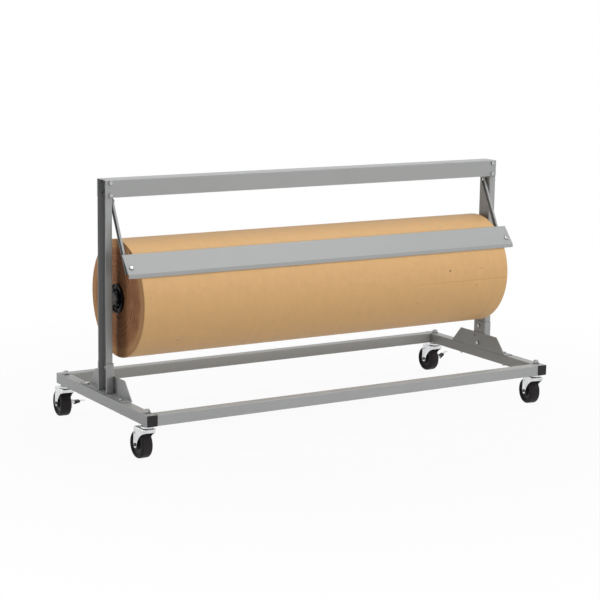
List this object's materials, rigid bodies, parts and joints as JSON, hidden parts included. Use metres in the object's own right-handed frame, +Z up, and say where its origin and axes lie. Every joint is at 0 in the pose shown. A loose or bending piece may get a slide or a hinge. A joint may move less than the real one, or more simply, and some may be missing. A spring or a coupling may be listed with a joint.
{
  "type": "wrapping paper roll stand and cutter",
  "caption": "Rolling floor stand that carries a jumbo roll of kraft wrapping paper on a cross shaft, with a swinging cutter bar resting on the paper.",
  "frame": {"origin": "on the floor under the middle of the base frame, half way between the side rails and between the front and rear end caps", "axes": "+X along the roll to the right seen from the cutter side, +Y to the back, away from the cutter bar, +Z up"},
  "size_m": [1.7302, 0.7733, 0.8964],
  "materials": {
    "grey_paint": "satin cool grey powder coat with a fine orange peel",
    "zinc_fasteners": "bright zinc plate",
    "zinc_caster": "bright zinc plated pressed steel",
    "steel_balls": "polished bearing steel",
    "bright_steel": "drawn steel bar",
    "dark_steel": "blackened steel",
    "blade_steel": "ground steel strip",
    "black_plastic": "moulded black plastic, fine texture",
    "black_rubber": "hard black rubber, moulded",
    "kraft_paper": "brown kraft paper with faint fibres",
    "core_board": "spiral wound grey brown board"
  },
  "bodies": {
    "frame": {"left_side_rail": "grey_paint", "right_side_rail": "grey_paint", "front_rail": "grey_paint", "rear_rail": "grey_paint", "left_gusset_bracket": "grey_paint", "right_gusset_bracket": "grey_paint", "left_post_sleeve": "grey_paint", "right_post_sleeve": "grey_paint", "left_post": "grey_paint", "right_post": "grey_paint", "crossbar": "grey_paint", "left_shaft_saddle": "grey_paint", "right_shaft_saddle": "grey_paint", "crossbar_bolts": "zinc_fasteners", "post_foot_bolts": "zinc_fasteners", "gusset_bolts": "zinc_fasteners", "frame_nuts": "zinc_fasteners", "saddle_bolts": "zinc_fasteners", "saddle_nuts": "zinc_fasteners", "cutter_pivot_bolts": "zinc_fasteners", "cutter_pivot_spacers": "zinc_fasteners", "cutter_pivot_nuts": "zinc_fasteners", "caster_stem_nuts": "zinc_fasteners", "caster_stem_washers": "zinc_fasteners", "caster_stems": "zinc_caster", "swivel_bearing_balls": "steel_balls", "rail_end_caps": "black_plastic"},
    "roll": {"roll_shaft": "bright_steel", "left_core_plug": "black_plastic", "right_core_plug": "black_plastic", "cardboard_core": "core_board", "kraft_paper_roll": "kraft_paper", "shaft_collars": "dark_steel"},
    "cutter": {"left_cutter_arm": "grey_paint", "right_cutter_arm": "grey_paint", "left_bar_bracket": "grey_paint", "right_bar_bracket": "grey_paint", "cutter_bar": "grey_paint", "cutter_blade": "blade_steel", "bar_bolts": "zinc_fasteners", "bar_nuts": "zinc_fasteners", "bracket_rivets": "zinc_fasteners"},
    "front_left_swivel": {"front_left_fork": "zinc_caster", "front_left_axle": "dark_steel"},
    "front_left_wheel": {"front_left_wheel": "black_rubber"},
    "front_right_swivel": {"front_right_fork": "zinc_caster", "front_right_axle": "dark_steel"},
    "front_right_wheel": {"front_right_wheel": "black_rubber"},
    "rear_left_swivel": {"rear_left_fork": "zinc_caster", "rear_left_axle": "dark_steel", "rear_left_brake_pin": "zinc_fasteners"},
    "rear_left_wheel": {"rear_left_wheel": "black_rubber"},
    "rear_left_brake": {"rear_left_brake_lever": "zinc_caster", "rear_left_brake_pad": "black_plastic"},
    "rear_right_swivel": {"rear_right_fork": "zinc_caster", "rear_right_axle": "dark_steel", "rear_right_brake_pin": "zinc_fasteners"},
    "rear_right_wheel": {"rear_right_wheel": "black_rubber"},
    "rear_right_brake": {"rear_right_brake_lever": "zinc_caster", "rear_right_brake_pad": "black_plastic"}
  },
  "joints": [
    {"name": "cutter_swing", "type": "hinge", "parent": "frame", "child": "cutter", "pos_m": [0, 0, 0.8215], "axis": [-1, 0, 0], "range_deg": [0, 65]},
    {"name": "roll_spin", "type": "hinge", "parent": "frame", "child": "roll", "pos_m": [0, 0.004, 0.485], "axis": [1, 0, 0], "continuous": true},
    {"name": "front_left_swivel_turn", "type": "hinge", "parent": "frame", "child": "front_left_swivel", "pos_m": [-0.81395, -0.3225, 0.1], "axis": [0, 0, 1], "continuous": true},
    {"name": "front_left_wheel_spin", "type": "hinge", "parent": "front_left_swivel", "child": "front_left_wheel", "pos_m": [-0.81465, -0.28251, 0.0476], "axis": [0.9998, 0.0175, 0], "continuous": true},
    {"name": "front_right_swivel_turn", "type": "hinge", "parent": "frame", "child": "front_right_swivel", "pos_m": [0.81395, -0.3225, 0.1], "axis": [0, 0, 1], "continuous": true},
    {"name": "front_right_wheel_spin", "type": "hinge", "parent": "front_right_swivel", "child": "front_right_wheel", "pos_m": [0.82021, -0.28299, 0.0476], "axis": [0.9877, -0.1564, 0], "continuous": true},
    {"name": "rear_left_swivel_turn", "type": "hinge", "parent": "frame", "child": "rear_left_swivel", "pos_m": [-0.81395, 0.3225, 0.1], "axis": [0, 0, 1], "continuous": true},
    {"name": "rear_left_wheel_spin", "type": "hinge", "parent": "rear_left_swivel", "child": "rear_left_wheel", "pos_m": [-0.81116, 0.3624, 0.0476], "axis": [0.9976, -0.0698, 0], "continuous": true},
    {"name": "rear_left_brake_press", "type": "hinge", "parent": "rear_left_swivel", "child": "rear_left_brake", "pos_m": [-0.78383, 0.33744, 0.0536], "axis": [-0.0698, -0.9976, 0], "range_deg": [0, 25]},
    {"name": "rear_right_swivel_turn", "type": "hinge", "parent": "frame", "child": "rear_right_swivel", "pos_m": [0.81395, 0.3225, 0.1], "axis": [0, 0, 1], "continuous": true},
    {"name": "rear_right_wheel_spin", "type": "hinge", "parent": "rear_right_swivel", "child": "rear_right_wheel", "pos_m": [0.81465, 0.36249, 0.0476], "axis": [0.9998, -0.0175, 0], "continuous": true},
    {"name": "rear_right_brake_press", "type": "hinge", "parent": "rear_right_swivel", "child": "rear_right_brake", "pos_m": [0.84324, 0.33899, 0.0536], "axis": [-0.0175, -0.9998, 0], "range_deg": [-25, 0]}
  ]
}
